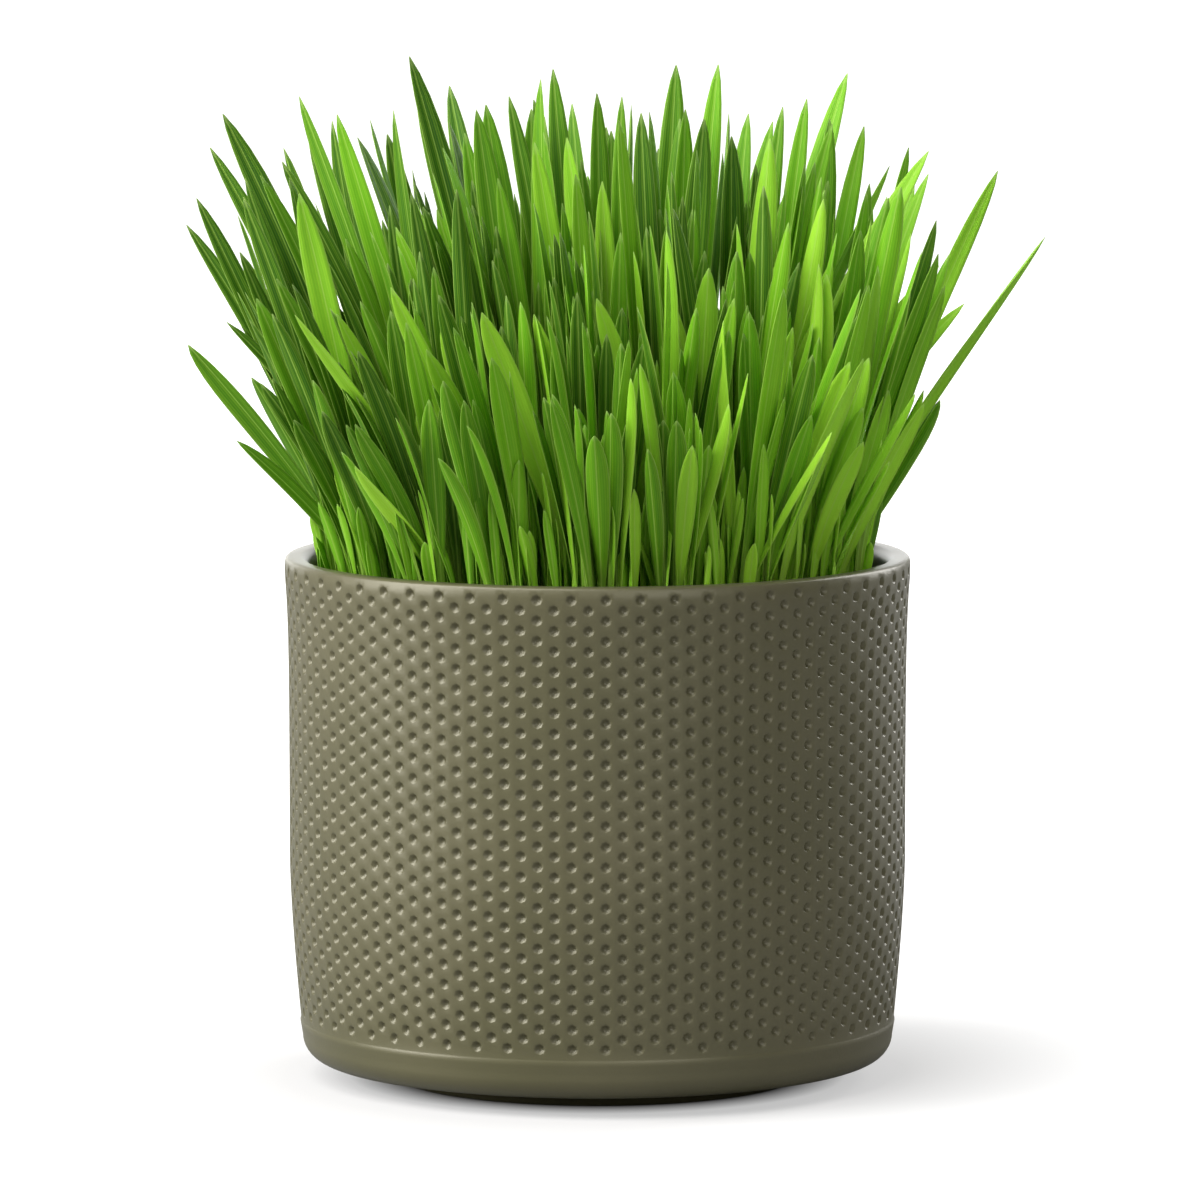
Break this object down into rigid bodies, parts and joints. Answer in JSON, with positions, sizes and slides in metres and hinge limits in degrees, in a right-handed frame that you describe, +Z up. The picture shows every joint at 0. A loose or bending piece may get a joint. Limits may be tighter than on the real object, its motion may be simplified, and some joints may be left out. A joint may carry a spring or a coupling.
{
  "type": "potted cat grass",
  "caption": "Cat grass in a round dimpled ceramic pot: upright green blades growing in clumps from dark soil, standing on a flat foot.",
  "frame": {"origin": "middle of the pot's flat foot, where it stands on a surface", "axes": "+Z up, along the pot's axis; -Y is the side seen in the picture"},
  "size_m": [0.194, 0.1592, 0.2285],
  "materials": {
    "pot": "matte olive glaze with dimples",
    "soil": "damp crumbly potting soil",
    "grass": "satin fresh grass blades"
  },
  "bodies": {
    "root": {"pot": "pot", "soil": "soil", "clump_01": "grass", "clump_02": "grass", "clump_03": "grass", "clump_04": "grass", "clump_05": "grass", "clump_06": "grass", "clump_07": "grass", "clump_08": "grass", "clump_09": "grass", "clump_10": "grass", "clump_11": "grass", "clump_12": "grass", "clump_13": "grass", "clump_14": "grass", "clump_15": "grass", "clump_16": "grass", "clump_17": "grass", "clump_18": "grass", "clump_19": "grass", "clump_20": "grass", "clump_21": "grass", "clump_22": "grass", "clump_23": "grass", "clump_24": "grass", "clump_25": "grass", "clump_26": "grass", "clump_27": "grass", "clump_28": "grass", "clump_29": "grass", "clump_30": "grass", "clump_31": "grass", "clump_32": "grass", "clump_33": "grass", "clump_34": "grass", "clump_35": "grass", "clump_36": "grass", "clump_37": "grass"}
  },
  "joints": []
}
